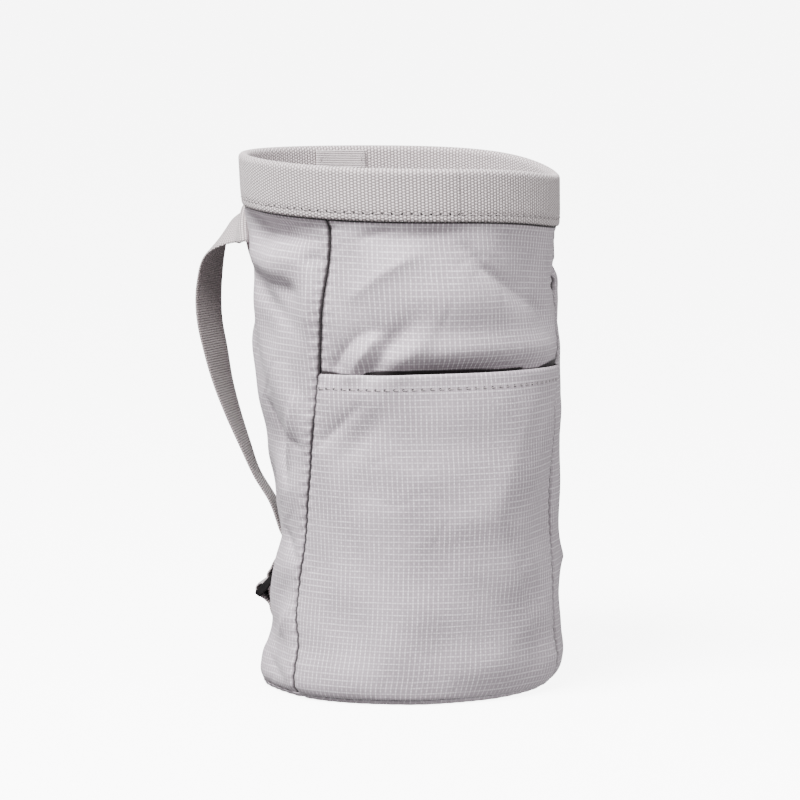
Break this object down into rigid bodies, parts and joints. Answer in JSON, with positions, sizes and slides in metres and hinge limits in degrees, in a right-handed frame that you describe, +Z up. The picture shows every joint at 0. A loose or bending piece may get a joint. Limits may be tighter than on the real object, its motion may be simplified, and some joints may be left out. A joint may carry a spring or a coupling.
{
  "type": "climbing chalk bag",
  "caption": "Tall round cloth chalk bag with a webbing rim band, open top, full-width front pocket and a webbing strap with a three-bar buckle.",
  "frame": {"origin": "centre of the base on the surface that the bag stands on", "axes": "+Z up to the open rim, -Y toward the front pocket, +X to the right seen from the front"},
  "size_m": [0.1386, 0.1278, 0.2135],
  "materials": {
    "ripstop": "matte grey ripstop cloth with a fine lighter grid",
    "base_cloth": "matte darker grey plain-weave cloth",
    "webbing": "matte light grey woven webbing",
    "plastic": "black moulded plastic"
  },
  "bodies": {
    "root": {"front_panel": "ripstop", "left_back_panel": "ripstop", "right_back_panel": "ripstop", "base_panel": "base_cloth", "pocket_panel": "ripstop", "rim_band": "webbing", "rim_join_tab": "webbing", "strap": "webbing", "buckle_anchor": "webbing", "strap_buckle": "plastic"}
  },
  "joints": []
}
